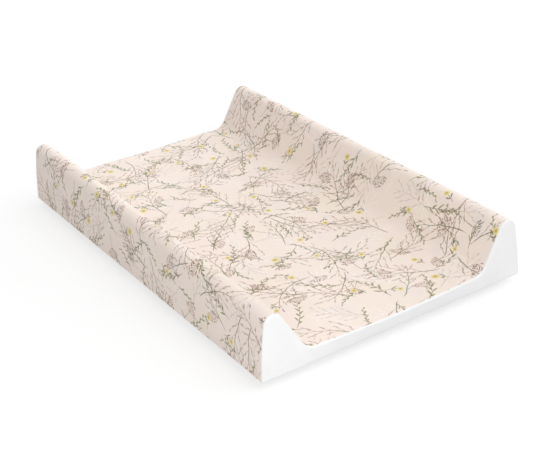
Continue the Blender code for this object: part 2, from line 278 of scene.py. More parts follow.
def choose(kind, wanted):
    """In edit mode, selects the edges or faces that pass a test, and nothing else."""
    bpy.ops.mesh.select_mode(type=kind)
    bpy.ops.mesh.select_all(action="DESELECT")
    mesh = bpy.context.edit_object.data
    work = bmesh.from_edit_mesh(mesh)
    for item in {"EDGE": work.edges, "FACE": work.faces}[kind]:
        if wanted(item):
            item.select_set(True)
    bmesh.update_edit_mesh(mesh)


def level(item, height):
    """Whether an edge or a face lies at a height all over."""
    return all(abs(vert.co.z - height) < NEAR for vert in item.verts)


def combine(piece, other, operation):
    """Joins another solid to a piece or cuts it out of it, and removes the other."""
    modifier = piece.modifiers.new("combine", "BOOLEAN")
    modifier.object, modifier.operation, modifier.solver = other, operation, "EXACT"
    apply_modifiers(piece)
    bpy.data.objects.remove(other)


def copied(piece, shift):
    """A copy of a piece with its own mesh, moved from the piece's place."""
    alone(piece)
    bpy.ops.object.duplicate()
    bpy.ops.transform.translate(value=shift)
    return started()


def dress(piece, name, made, replaced=()):
    """Names a rigid piece, smooths its round faces, and gives it its material and its body."""
    alone(piece)
    bpy.ops.object.shade_smooth_by_angle(angle=math.radians(32))
    piece.name = piece.data.name = name
    settle(piece, [made], replaced)


def repeat(piece, boxes, ending, made):
    """Dresses a piece made in the first of some CAD nodes' boxes, and a copy of it in each other."""
    middles = {name: (low + high) / 2 for name, (low, high) in boxes.items()}
    first, *others = middles
    for name in others:
        dress(copied(piece, middles[name] - middles[first]), name + ending, made, [name])
    dress(piece, first + ending, made, [first])


def arc(centre, radius, start, end, steps):
    """Points on an arc, without its last one, so that pieces of a line can be joined."""
    angles = start + (end - start) * np.arange(steps) / steps
    return np.column_stack([centre[0] + radius * np.cos(angles), centre[1] + radius * np.sin(angles)])


def straight(start, end, steps):
    """Points on a straight line, without its last one."""
    shares = np.arange(steps)[:, None] / steps
    return np.array(start) * (1 - shares) + np.array(end) * shares


def quarter_round(radius, steps):
    """Distances from the two faces that a rounded edge joins: first on one face, last on the other."""
    angles = [math.pi / 2 * i / steps for i in range(steps + 1)]
    return [(radius * (1 - math.sin(angle)), radius * (1 - math.cos(angle))) for angle in angles]


def touching_arc(first, first_radius, second, second_radius, radius):
    """Centre of the wide arc that two smaller circles touch from inside."""
    along = second - first
    reach = radius - first_radius
    step = (reach**2 - (radius - second_radius) ** 2 + along.length_squared) / (2 * along.length)
    across = Vector((along.y, -along.x)).normalized()
    return first + step * along.normalized() + math.sqrt(reach**2 - step**2) * across


class Section:
    """The outer line of the pad across its width: places, outward directions and run of the
    foil, from one hem's edge over both bolsters to the other's. The capitals are the numbers of
    steps in its arcs and straights."""

    FOLD, FACE, CREST, SLOPE, VALLEY, LYING, HEM = 7, 22, 30, 14, 18, 26, 8

    def __init__(self, shape):
        side, under, downwards = PAD_HIGH.x, PAD_LOW.z, 1.5 * math.pi
        radius, lying = shape.crest_radius, under + shape.lying_height
        fold = Vector((shape.fold_radius - side, under + shape.fold_radius))
        crest = Vector((shape.bolster_lean + radius - side, PAD_HIGH.z - radius))
        face = touching_arc(fold, shape.fold_radius, crest, radius, shape.bulge_radius)
        fold_end, face_end = (math.atan2(c.y - face.y, c.x - face.x) % math.tau for c in (fold, crest))
        foot = Vector((shape.bolster_width - side, lying))
        fall = foot - crest
        inner = math.acos(radius / fall.length) - math.atan2(-fall.y, fall.x)
        reach = shape.valley_radius * math.tan((math.pi / 2 - inner) / 2)
        valley = foot + Vector((reach, shape.valley_radius))
        off_slope = Vector((math.cos(inner), math.sin(inner)))
        leave, meet = crest + radius * off_slope, valley - shape.valley_radius * off_slope
        share = np.arange(self.LYING) / self.LYING
        sunk = shape.lying_hollow * np.sin(math.pi / 2 * share) ** 2
        hem_x = fold.x + shape.hem_depth - shape.rim_depth
        parts = [
            straight((hem_x, under), (fold.x, under), self.HEM),
            arc(fold, shape.fold_radius, downwards, fold_end, self.FOLD),
            arc(face, shape.bulge_radius, fold_end, face_end, self.FACE),
            arc(crest, radius, face_end, inner, self.CREST),
            straight(leave, meet, self.SLOPE),
            arc(valley, shape.valley_radius, inner + math.pi, downwards, self.VALLEY),
            np.column_stack([valley.x * (1 - share), lying - sunk]),
        ]
        left = np.vstack(parts)
        middle = [[0, lying - shape.lying_hollow]]
        self.places = np.vstack([left, middle, (left * (-1, 1))[::-1]])
        ways = np.gradient(self.places, axis=0)
        ways /= np.linalg.norm(ways, axis=1)[:, None]
        self.outward = np.column_stack([-ways[:, 1], ways[:, 0]])
        steps = np.linalg.norm(np.diff(self.places, axis=0), axis=1)
        run = np.concatenate([[0], np.cumsum(steps)])
        self.run = run - run[-1] / 2
        self.end = BOARD_TOP.y + shape.foil + shape.air
        self.under, self.fold_x, self.valley_x = under, fold.x, valley.x
        self.crest_end = self.HEM + self.FOLD + self.FACE + self.CREST
        self.bow, self.bow_x, self.bow_z = shape.end_bow, leave.x, shape.lying_height

    def at(self, depth):
        """The line at a depth under the foil's face."""
        return self.places - self.outward * depth

    def bowed(self, x, z):
        """How far an end stands out over the board: most in the middle of the lying surface, and
        nothing under the crests."""
        across = min(abs(x / self.bow_x), 1.0)
        rise = min((z - self.under) / self.bow_z, 1.0)
        return self.bow * (1 - across**2) * rise

    def from_fold(self):
        """The part of the line between the two folds' lowest points."""
        return slice(self.HEM, len(self.places) - self.HEM)


def waves(run, along, size, seed):
    """Smooth noise over the foil, about -1 to 1, that changes over a size in metres."""
    return noise.noise(Vector((run / size, along / size, seed)))


def grid_mesh(name, rows, uvs=None):
    """A mesh over a grid of points, doubles merged, with a UV map in metres for the print."""
    count, wide = len(rows), len(rows[0])
    mesh = bpy.data.meshes.new(name)
    corners = [
        (i * wide + j, i * wide + j + 1, (i + 1) * wide + j + 1, (i + 1) * wide + j)
        for i in range(count - 1)
        for j in range(wide - 1)
    ]
    mesh.from_pydata(np.asarray(rows, float).reshape(-1, 3), [], corners)
    if uvs is not None:
        flat = np.asarray(uvs, float).reshape(-1, 2)
        layer = mesh.uv_layers.new(name="print")
        loops = np.empty(len(mesh.loops), np.int32)
        mesh.loops.foreach_get("vertex_index", loops)
        layer.data.foreach_set("uv", flat[loops].astype(np.float32).ravel())
    work = bmesh.new()
    work.from_mesh(mesh)
    bmesh.ops.remove_doubles(work, verts=work.verts, dist=NEAR)
    bmesh.ops.dissolve_degenerate(work, edges=work.edges, dist=NEAR / 2)
    bmesh.ops.recalc_face_normals(work, faces=work.faces)
    work.to_mesh(mesh)
    work.free()
    mesh.shade_smooth()
    return mesh


def ring_mesh(name, rings):
    """A closed mesh skinned over rings of equal count, and over each end between the ring's first
    half and its second."""
    work = bmesh.new()
    rows = [[work.verts.new(point) for point in ring] for ring in rings]
    for low, high in zip(rows, rows[1:]):
        for i, vert in enumerate(low):
            work.faces.new((low[i - 1], vert, high[i], high[i - 1]))
    count = len(rows[0])
    for row in (rows[0], rows[-1]):
        for i in range(count // 2 - 1):
            work.faces.new((row[i], row[i + 1], row[count - 2 - i], row[count - 1 - i]))
    bmesh.ops.recalc_face_normals(work, faces=work.faces)
    mesh = bpy.data.meshes.new(name)
    work.to_mesh(mesh)
    work.free()
    mesh.shade_smooth()
    mesh.set_sharp_from_angle(angle=math.radians(30))
    return mesh


def thicken(piece, thickness):
    """Gives a sheet its foil's thickness inwards, with the backing's material inside."""
    modifier = piece.modifiers.new("foil", "SOLIDIFY")
    modifier.thickness = thickness
    modifier.offset = -1
    modifier.use_even_offset = False
    modifier.material_offset = 1
    apply_modifiers(piece)


# Materials


def node(tree, kind, *inputs, out=0, to=None, named=None, **settings):
    """Adds a node, whose kind may be followed by its operation. Sets what it is told, and fills its
    inputs, in order or by name, with values or links. Returns one of its outputs, which it links to
    a socket if one is given."""
    kind, _, operation = kind.partition(" ")
    made = tree.nodes.new("ShaderNode" + kind)
    if operation:
        made.operation = operation
    for name, value in settings.items():
        setattr(made, name, value)
    for key, value in [*enumerate(inputs), *(named or {}).items()]:
        if isinstance(value, bpy.types.NodeSocket):
            tree.links.new(value, made.inputs[key])
        elif value is not None:
            made.inputs[key].default_value = value
    if to is not None:
        tree.links.new(made.outputs[out], to)
    return made.outputs[out]


def material(name, roughness, metallic=0.0, specular=0.5, uv_map=None):
    """A new material, the function that adds its nodes, its shader's inputs, and a piece's places
    in millimetres, from a UV map in metres or from the piece's own coordinates."""
    made = bpy.data.materials.new(name)
    made.use_nodes = True
    surface = made.node_tree.nodes["Principled BSDF"].inputs
    surface["Roughness"].default_value = roughness
    surface["Metallic"].default_value = metallic
    surface["Specular IOR Level"].default_value = specular
    add = functools.partial(node, made.node_tree)
    metres = add("UVMap", uv_map=uv_map) if uv_map else add("TexCoord", out="Object")
    return made, add, surface, add("VectorMath MULTIPLY", metres, (1 / MM,) * 3)


def shared(make):
    """A material that several pieces use, made once. It has its function's name."""
    return bpy.data.materials.get(make.__name__) or make(bpy.context.scene.pad_colours)


def group(name, inputs, outputs):
    """A new node group, the function that adds its nodes, and the sockets of its two ends: places
    and cells are vectors, and the others are numbers."""
    tree = bpy.data.node_groups.new(name, "ShaderNodeTree")
    for side, titles in (("INPUT", inputs), ("OUTPUT", outputs)):
        for title in titles:
            kind = "Vector" if title in ("Place", "Cell", "Local") else "Float"
            tree.interface.new_socket(name=title, in_out=side, socket_type="NodeSocket" + kind)
    given, wanted = tree.nodes.new("NodeGroupInput").outputs, tree.nodes.new("NodeGroupOutput").inputs
    return tree, functools.partial(node, tree), given, wanted


def scatter_group():
    """Lays motifs out in columns of cells with a shift, a turn and a flip of their own. Gives the
    place in a motif's own cell, in millimetres from its middle, and three numbers of its own."""
    tree, add, given, wanted = group(
        "Scatter",
        ["Place", "Cell", "Tilt", "Spread", "Seed"],
        ["Local", "Chance", "Second chance", "Third chance"],
    )
    tilted = add("VectorRotate", given["Place"], rotation_type="Z_AXIS", named={"Angle": given["Tilt"]})
    column = add("SeparateXYZ", add("VectorMath DIVIDE", tilted, given["Cell"]))
    column_seed = add("Math ADD", add("Math FLOOR", column), given["Seed"])
    lift = add("TexWhiteNoise", None, column_seed, noise_dimensions="1D")
    row = add("Math ADD", column.node.outputs["Y"], lift)
    shifted = add("CombineXYZ", column, row, given["Seed"])
    cell = add("VectorMath FLOOR", shifted)
    inside = add("VectorMath SUBTRACT", add("VectorMath FRACTION", shifted), (0.5, 0.5, 0.5))
    place = add("VectorMath MULTIPLY", inside, given["Cell"])
    chance = add("TexWhiteNoise", cell, noise_dimensions="3D", to=wanted["Chance"])
    drawn = add("SeparateColor", chance.node.outputs["Color"])
    tree.links.new(drawn.node.outputs["Blue"], wanted["Second chance"])
    turn = add("Math MULTIPLY", add("Math SUBTRACT", drawn, 0.5), given["Spread"])
    local = add("VectorRotate", place, rotation_type="Z_AXIS", named={"Angle": turn})
    flip = add("Math SIGN", add("Math SUBTRACT", drawn.node.outputs["Green"], 0.5))
    add("VectorMath MULTIPLY", local, add("CombineXYZ", flip, 1.0, 0.0), to=wanted["Local"])
    other_cell = add("VectorMath ADD", cell, (0.3, 7.1, 2.9))
    add("TexWhiteNoise", other_cell, noise_dimensions="3D", to=wanted["Third chance"])
    return tree


def spray_group():
    """One spray, standing up in its cell: an arched stem that thins out, curved twigs that leave it
    by turns to the left and right, and buds beside the twigs or a leaf in each twig's place. Sizes
    are in millimetres, and the ink's edges are soft over a few tenths of one."""
    tree, add, given, wanted = group(
        "Spray",
        ["Local", "Chance", "Length", "Pitch", "Reach", "Bend", "Rise", "Stem", "Leaf", "Bud", "Bud pitch"],
        ["Stem", "Twigs", "Leaves", "Buds", "Share"],
    )
    first_twig, last_twig, first_bud = 0.12, 0.96, 0.22
    x = add("SeparateXYZ", given["Local"])
    y = add("Math MULTIPLY_ADD", given["Length"], 0.5, x.node.outputs["Y"])
    share = add("Math DIVIDE", y, given["Length"])
    # The stem's arch differs from spray to spray
    middle = add("Math SUBTRACT", share, 0.5)
    arch = add("Math MULTIPLY", given["Bend"], add("Math MULTIPLY_ADD", given["Chance"], 0.7, 0.3))
    bow = add("Math MULTIPLY", add("Math MULTIPLY", middle, middle), arch)
    off = add("Math SUBTRACT", x, bow)
    away = add("Math ABSOLUTE", off)
    thin = add("Math MULTIPLY_ADD", share, -0.7, 1.0)
    foot = add("MapRange", share, 0.0, 0.12, 0.3, 1.0)
    thick = add("Math MULTIPLY", add("Math MULTIPLY", thin, foot), given["Stem"])
    line = add("MapRange", add("Math SUBTRACT", away, thick), -0.25, 0.3, 1.0, 0.0)
    ends = add("Math MINIMUM", share, add("Math SUBTRACT", 1.0, share))
    add("Math MULTIPLY", line, add("Math GREATER_THAN", ends, 0.0), to=wanted["Stem"])
    # Twigs lie on sheared lines that curve up as they leave the stem
    side = add("Math GREATER_THAN", off, 0.0)
    curl = add("Math MULTIPLY", add("Math MULTIPLY", away, away), 0.014)
    height = add("Math SUBTRACT", y, add("Math MULTIPLY_ADD", away, given["Rise"], curl))
    double = add("Math MULTIPLY", given["Pitch"], 2.0)
    phase = add("Math MULTIPLY", side, given["Pitch"])
    count = add("Math ROUND", add("Math DIVIDE", add("Math ADD", height, phase), double))
    root = add("Math SUBTRACT", add("Math MULTIPLY", count, double), phase)
    miss = add("Math SUBTRACT", height, root)
    root_share = add("Math DIVIDE", root, given["Length"])
    low = add("Math GREATER_THAN", root_share, first_twig)
    grown = add("Math MULTIPLY", low, add("Math LESS_THAN", root_share, last_twig))
    luck = add("TexWhiteNoise", add("CombineXYZ", count, side, given["Chance"]), noise_dimensions="3D")
    taper = add("Math MULTIPLY", add("Math MULTIPLY_ADD", root_share, -0.55, 1.0), given["Reach"])
    reach = add("Math MULTIPLY", add("Math MULTIPLY_ADD", luck, 0.6, 0.4), taper)
    along = add("Math DIVIDE", away, reach, to=wanted["Share"])
    on_twig = add("Math MULTIPLY", add("Math LESS_THAN", along, 1.0), grown)
    slant = add("Math MULTIPLY", add("Math ABSOLUTE", miss), 0.66)
    twig = add("MapRange", slant, 0.2, 0.65, 1.0, 0.0)
    add("Math MULTIPLY", twig, on_twig, to=wanted["Twigs"])
    # A leaf is widest a little before its middle
    swell = add("Math SINE", add("Math MULTIPLY", add("Math POWER", along, 0.8), math.pi))
    blade = add("Math SUBTRACT", slant, add("Math MULTIPLY", swell, given["Leaf"]))
    leaf = add("MapRange", blade, -0.25, 0.2, 1.0, 0.0)
    add("Math MULTIPLY", leaf, on_twig, to=wanted["Leaves"])
    # Buds stand by turns on either side of a twig, and one at its tip
    beat = add("Math DIVIDE", away, given["Bud pitch"])
    turn = add("Math MODULO", add("Math FLOOR", beat), 2.0)
    set_off = add("Math MULTIPLY", add("Math MULTIPLY_ADD", turn, 3.0, -1.5), given["Bud"])
    past = add("Math MULTIPLY", add("Math SUBTRACT", add("Math FRACT", beat), 0.5), given["Bud pitch"])
    spot = add("CombineXYZ", past, add("Math SUBTRACT", miss, set_off), 0.0)
    gap = add("VectorMath LENGTH", spot, out="Value")
    bud = add("MapRange", add("Math SUBTRACT", gap, given["Bud"]), -0.3, 0.35, 1.0, 0.0)
    spaced = add("Math MULTIPLY", add("Math GREATER_THAN", along, first_bud), on_twig)
    beside = add("Math MULTIPLY", bud, spaced)
    tip = add("CombineXYZ", add("Math SUBTRACT", away, reach), miss, 0.0)
    tip_gap = add("VectorMath LENGTH", tip, out="Value")
    last = add("MapRange", add("Math SUBTRACT", tip_gap, given["Bud"]), -0.1, 0.6, 1.0, 0.0)
    add("Math MAXIMUM", beside, add("Math MULTIPLY", last, grown), to=wanted["Buds"])
    return tree


def flower_group():
    """A flower of five round petals seen from above, over two small leaves and a short stalk."""
    tree, add, given, wanted = group("Flower", ["Local", "Radius"], ["Petals", "Depth", "Heart", "Green"])
    petals, stalk_length, leaf_height, leaf_length, leaf_width = 5, 20.0, 14.0, 8.0, 2.2
    x = add("SeparateXYZ", given["Local"])
    y = x.node.outputs["Y"]
    far = add("VectorMath LENGTH", given["Local"], out="Value")
    turn = add("Math ARCTAN2", y, x)
    lobe = add("Math ABSOLUTE", add("Math COSINE", add("Math MULTIPLY", turn, petals / 2)))
    full = add("Math POWER", lobe, 0.5)
    edge = add("Math MULTIPLY", add("Math MULTIPLY_ADD", full, 0.34, 0.66), given["Radius"])
    add("MapRange", add("Math SUBTRACT", far, edge), -0.3, 0.3, 1.0, 0.0, to=wanted["Petals"])
    cleft = add("MapRange", lobe, 0.0, 0.35, 0.0, 1.0)
    add("Math MULTIPLY", add("Math DIVIDE", far, edge), cleft, to=wanted["Depth"])
    core = add("Math SUBTRACT", far, add("Math MULTIPLY", given["Radius"], 0.25))
    add("MapRange", core, -0.4, 0.5, 1.0, 0.0, to=wanted["Heart"])
    # Stalk and leaves
    bent = add("Math SUBTRACT", x, add("Math MULTIPLY", add("Math MULTIPLY", y, y), 0.016))
    spread = add("Math ABSOLUTE", bent)
    stalk = add("MapRange", spread, 0.35, 0.75, 1.0, 0.0)
    above_foot = add("MapRange", y, -stalk_length - 1, -stalk_length, 0.0, 1.0)
    below = add("Math MULTIPLY", above_foot, add("Math LESS_THAN", y, 0.0))
    slope = add("Math SUBTRACT", add("Math ADD", y, leaf_height), spread)
    swell = add("Math SINE", add("Math MULTIPLY", spread, math.pi / leaf_length))
    near = add("Math LESS_THAN", spread, leaf_length)
    width = add("Math MULTIPLY", add("Math MULTIPLY", swell, leaf_width), near)
    leaf = add("MapRange", add("Math SUBTRACT", add("Math ABSOLUTE", slope), width), -0.4, 0.0, 1.0, 0.0)
    add("Math MAXIMUM", add("Math MULTIPLY", stalk, below), leaf, to=wanted["Green"])
    return tree


def umbel_group():
    """A loose head of tiny blossoms on thin rays that fan out from one point of a bare stalk."""
    tree, add, given, wanted = group("Umbel", ["Local", "Radius"], ["Rays", "Blossoms"])
    ray_turn, fan_turn, foot_height, stalk_length = 0.3, 1.2, 8.0, 24.0
    lifted = add("VectorMath ADD", given["Local"], (0.0, foot_height, 0.0))
    x = add("SeparateXYZ", lifted)
    y = x.node.outputs["Y"]
    far = add("VectorMath LENGTH", lifted, out="Value")
    turn = add("Math ARCTAN2", x, y)
    off = add("Math SUBTRACT", turn, add("Math SNAP", turn, ray_turn))
    beside = add("Math ABSOLUTE", add("Math SUBTRACT", off, ray_turn / 2))
    across = add("Math MULTIPLY", beside, far)
    fan = add("Math LESS_THAN", add("Math ABSOLUTE", turn), fan_turn)
    ray = add("Math MULTIPLY", add("MapRange", across, 0.2, 0.55, 1.0, 0.0), fan)
    short = add("Math LESS_THAN", far, given["Radius"])
    stalk = add("MapRange", add("Math ABSOLUTE", x), 0.3, 0.65, 1.0, 0.0)
    above_foot = add("Math GREATER_THAN", y, -stalk_length)
    below = add("Math MULTIPLY", add("Math LESS_THAN", y, 0.0), above_foot)
    foot = add("Math MULTIPLY", stalk, below)
    add("Math MAXIMUM", add("Math MULTIPLY", ray, short), foot, to=wanted["Rays"])
    cells = add("TexVoronoi", lifted, voronoi_dimensions="2D", named={"Scale": 0.27, "Randomness": 0.85})
    dot = add("MapRange", cells, 0.3, 0.42, 1.0, 0.0)
    inner = add("Math GREATER_THAN", far, add("Math MULTIPLY", given["Radius"], 0.68))
    outer = add("Math LESS_THAN", far, add("Math MULTIPLY", given["Radius"], 1.2))
    ring = add("Math MULTIPLY", add("Math MULTIPLY", inner, outer), fan)
    add("Math MULTIPLY", dot, ring, to=wanted["Blossoms"])
    return tree


class BotanicalPrint:
    """The foil's print, motif by motif, each over what is printed so far. Lengths are millimetres."""

    def __init__(self, add, place, colours):
        self.add, self.place, self.colours = add, place, colours
        self.groups = {
            "scatter": scatter_group(),
            "spray": spray_group(),
            "flower": flower_group(),
            "umbel": umbel_group(),
        }
        # Motifs drift a little from place to place, and the ink takes unevenly, as in a watercolour
        wobble = add("TexNoise", place, out="Color", named={"Scale": 0.03, "Detail": 2.0})
        centred = add("VectorMath SUBTRACT", wobble, (0.5, 0.5, 0.5))
        drift = add("VectorMath MULTIPLY", centred, (11.0, 11.0, 0.0))
        self.drawn_at = add("VectorMath ADD", place, drift)
        uneven = add("TexNoise", place, named={"Scale": 0.14, "Detail": 3.0})
        self.take = add("MapRange", uneven, 0.34, 0.66, 0.6, 1.0)
        self.paint = self.ink("ground")

    def ink(self, name):
        return (*getattr(self.colours, name), 1.0)

    def over(self, base, tone, mask, strength=1.0):
        """A colour over another where a mask lets it."""
        part = self.add("Math MULTIPLY", mask, strength)
        return self.add("Mix", data_type="RGBA", out=2, named={0: part, 6: base, 7: tone})

    def press(self, tone, mask, strength=1.0):
        """Prints a colour over what is printed so far."""
        self.paint = self.over(self.paint, tone, mask, strength)

    def call(self, name, **values):
        """The outputs of a motif's group. An underscore in an input's name stands for a space."""
        named = {key.replace("_", " "): value for key, value in values.items()}
        return self.add("Group", node_tree=self.groups[name], named=named).node.outputs

    def cells(self, size, tilt, seed):
        """Cells of a size in columns at a tilt in degrees."""
        turns = {"Tilt": math.radians(tilt), "Spread": math.tau}
        return self.call("scatter", Place=self.drawn_at, Cell=(size, size, 1.0), Seed=seed, **turns)

    def sprays(self, cells, **form):
        """A spray in each cell, of a form given by the names of the group's inputs."""
        return self.call("spray", Local=cells["Local"], Chance=cells["Chance"], **form)

    def shown(self, cells, kept):
        """How strongly each cell's motif is printed. Only a share of the cells is kept."""
        full = self.add("Math LESS_THAN", cells["Third chance"], kept)
        return self.add("Math MULTIPLY", full, self.take)

    def rosy(self, cells):
        """Mauve to dusty pink, by the cell."""
        return self.over(self.ink("bud"), self.ink("bud_pink"), cells["Second chance"])

    def add_washes(self):
        """Washes in the ground, a hand's breadth across."""
        broad = self.add("TexNoise", self.place, named={"Scale": 0.011, "Detail": 3.0, "Roughness": 0.55})
        self.press(self.ink("ground_cream"), self.add("MapRange", broad, 0.48, 0.66, 0.0, 0.75))
        apart = self.add("VectorMath ADD", self.place, (300.0, 120.0, 0.0))
        other = self.add("TexNoise", apart, named={"Scale": 0.016, "Detail": 4.0, "Roughness": 0.6})
        self.press(self.ink("ground_grey"), self.add("MapRange", other, 0.52, 0.72, 0.0, 0.7))

    def add_far_sprays(self):
        """Faint sprays behind the others, in beige and in white."""
        form = dict(Pitch=10.0, Reach=30.0, Bend=60.0, Rise=1.15, Stem=0.8, Leaf=0.0, Bud=1.4, Bud_pitch=5.0)
        for size, tilt, seed, long, tone, strength in (
            (112, 62, 3.0, 104.0, "ghost", 0.75),
            (116, 25, 7.0, 106.0, "pale", 0.8),
        ):
            spray = self.sprays(self.cells(size, tilt, seed), Length=long, **form)
            lines = self.add("Math MAXIMUM", spray["Stem"], spray["Twigs"])
            self.press(self.ink(tone), self.add("Math MAXIMUM", lines, spray["Buds"]), strength)

    def add_umbels(self):
        """Loose heads of tiny blossoms, each head mauve or dusty pink."""
        cells = self.cells(72, -18, 11.0)
        shown = self.shown(cells, kept=0.7)
        umbel = self.call("umbel", Local=cells["Local"], Radius=17.0)
        self.press(self.ink("twig"), umbel["Rays"], shown)
        self.press(self.rosy(cells), umbel["Blossoms"], shown)

    def add_leafy_sprays(self):
        """Small sprays whose leaves grow paler towards their tips."""
        form = dict(Bend=36.0, Rise=1.0, Stem=0.75, Bud=0.0, Bud_pitch=5.0)
        for size, tilt, seed, kept, pitch, reach, blade in (
            (90, -48, 23.0, 0.75, 7.0, 13.0, 1.8),
            (64, 12, 29.0, 0.6, 5.5, 9.0, 1.6),
        ):
            cells = self.cells(size, tilt, seed)
            shown = self.shown(cells, kept)
            spray = self.sprays(cells, Length=size - 9.0, Pitch=pitch, Reach=reach, Leaf=blade, **form)
            self.press(self.ink("stem"), spray["Stem"], shown)
            towards_tip = self.add("MapRange", spray["Share"], 0.1, 0.8, 0.0, 1.0)
            tone = self.over(self.ink("leaf_dark"), self.ink("leaf"), towards_tip)
            self.press(tone, spray["Leaves"], shown)

    def add_budding_sprays(self):
        """The large sprays in front: bare twigs with buds, from stems that arch."""
        form = dict(Rise=1.2, Stem=1.0, Leaf=0.0, Bud=1.35, Bud_pitch=4.8)
        for size, tilt, seed, kept, pitch, reach, arch in (
            (118, 24, 37.0, 0.9, 10.5, 31.0, 64.0),
            (106, 118, 51.0, 0.85, 10.0, 28.0, 52.0),
            (130, 71, 83.0, 0.85, 11.5, 34.0, 80.0),
        ):
            cells = self.cells(size, tilt, seed)
            shown = self.shown(cells, kept)
            spray = self.sprays(cells, Length=size - 8.0, Pitch=pitch, Reach=reach, Bend=arch, **form)
            self.press(self.ink("twig"), spray["Twigs"], self.add("Math MULTIPLY", shown, 0.85))
            self.press(self.rosy(cells), spray["Buds"], shown)
            self.press(self.ink("stem"), spray["Stem"], shown)

    def add_flowers(self):
        """Flowers of two yellows, whose petals cover what is under them."""
        cells = self.cells(66, 9, 71.0)
        shown = self.shown(cells, kept=0.5)
        radius = self.add("MapRange", cells["Second chance"], 0.0, 1.0, 4.5, 8.0)
        flower = self.call("flower", Local=cells["Local"], Radius=radius)
        self.press(self.ink("leaf_dark"), flower["Green"], shown)
        full = self.add("Math GREATER_THAN", shown, 0.0)
        towards_heart = self.add("MapRange", flower["Depth"], 0.35, 0.95, 1.0, 0.0)
        yellow = self.over(self.ink("petal_pale"), self.ink("petal"), towards_heart)
        self.press(yellow, flower["Petals"], full)
        self.press(self.ink("heart"), flower["Heart"], full)


def printed_pvc_foil(colours):
    """Calendered PVC foil, gravure printed and satin: the ink lies in the foil, so the print has
    no relief, and the foil has a faint even grain and a soft broad shine."""
    made, add, surface, place = material("printed_pvc_foil", 0.5, specular=0.35, uv_map="print")
    motifs = BotanicalPrint(add, place, colours)
    motifs.add_washes()
    motifs.add_far_sprays()
    motifs.add_umbels()
    motifs.add_leafy_sprays()
    motifs.add_budding_sprays()
    motifs.add_flowers()
    made.node_tree.links.new(motifs.paint, surface["Base Color"])
    finish_foil(add, surface, place)
    return made


def finish_foil(add, surface, place):
    """The grain and uneven satin of calendered foil, drawn at 1.4 mm so that it shows, over soft
    unevenness of the fleece behind it."""
    grain = add("TexVoronoi", place, named={"Scale": 0.7})
    soft = add("TexNoise", place, named={"Scale": 0.09, "Detail": 2.0})
    shine = add("TexNoise", place, named={"Scale": 0.02, "Detail": 3.0})
    add("MapRange", shine, 0.3, 0.7, 0.44, 0.56, to=surface["Roughness"])
    relief = add("Math MULTIPLY_ADD", grain, 0.06, soft)
    add("Bump", named={"Strength": 0.12, "Distance": 0.6 * MM, "Height": relief}, to=surface["Normal"])


def white_pvc_foil(colours):
    """White PVC foil, calendered and satin: like the printed one without its print."""
    made, add, surface, place = material("white_pvc_foil", 0.45, specular=0.35)
    cloud = add("TexNoise", place, named={"Scale": 0.02, "Detail": 2.0})
    shade = add("MapRange", cloud, 0.3, 0.7, 0.97, 1.0)
    add("VectorMath MULTIPLY", colours.white_foil, shade, to=surface["Base Color"])
    finish_foil(add, surface, place)
    return made


def polyester_fleece(colours):
    """Needled polyester fleece on the foil's back: matt, with a short loose pile."""
    made, add, surface, place = material("polyester_fleece", 1.0, specular=0.2)
    pile = add("TexNoise", place, named={"Scale": 1.1, "Detail": 4.0, "Roughness": 0.7})
    shade = add("MapRange", pile, 0.3, 0.7, 0.9, 1.0)
    add("VectorMath MULTIPLY", colours.fleece, shade, to=surface["Base Color"])
    add("Bump", named={"Strength": 0.5, "Distance": 0.4 * MM, "Height": pile}, to=surface["Normal"])
    return made


def polyurethane_foam(colours):
    """Slabstock polyurethane foam, cut by a wire: matt and yellowish, with open cells of about
    1 mm, drawn at 2 mm so that they show. The cells' pits are sunk by a bump and darkened in colour as
    painted shade."""
    made, add, surface, place = material("polyurethane_foam", 0.95, specular=0.15)
    cells = add("TexVoronoi", place, named={"Scale": 0.5, "Randomness": 1.0})
    fine = add("TexNoise", place, named={"Scale": 0.9, "Detail": 3.0})
    # Painted shade: the foam's colour is darkened in the cells' pits, where the bump sinks them
    pit_and_painted_shade = add("MapRange", cells, 0.1, 0.7, 0.78, 1.0)
    shade = add("Math MULTIPLY", pit_and_painted_shade, add("MapRange", fine, 0.3, 0.7, 0.94, 1.0))
    add("VectorMath MULTIPLY", colours.foam, shade, to=surface["Base Color"])
    add("Bump", named={"Strength": 0.6, "Distance": 0.8 * MM, "Height": pit_and_painted_shade}, to=surface["Normal"])
    return made


def pressed_fibreboard(colours):
    """Wet-pressed hardboard: dense brown fibres with darker flecks, smooth from the press."""
    made, add, surface, place = material("pressed_fibreboard", 0.7, specular=0.3)
    fibres = {"Scale": 0.35, "Detail": 6.0, "Roughness": 0.75, "Distortion": 1.5}
    felt = add("TexNoise", place, named=fibres)
    broad = add("TexNoise", place, named={"Scale": 0.02, "Detail": 2.0})
    specks = add("TexNoise", place, named={"Scale": 0.8, "Detail": 2.0, "Distortion": 3.0})
    fleck = add("MapRange", specks, 0.62, 0.7, 0.0, 0.7)
    cloud = add("MapRange", broad, 0.35, 0.65, 0.0, 0.25)
    ramp = add("Math ADD", add("MapRange", felt, 0.35, 0.65, 0.0, 0.5), cloud)
    tones = {0: add("Math MAXIMUM", ramp, fleck), 6: (*colours.board, 1), 7: (*colours.board_dark, 1)}
    add("Mix", data_type="RGBA", out=2, named=tones, to=surface["Base Color"])
    add("Bump", named={"Strength": 0.3, "Distance": 0.3 * MM, "Height": felt}, to=surface["Normal"])
    return made


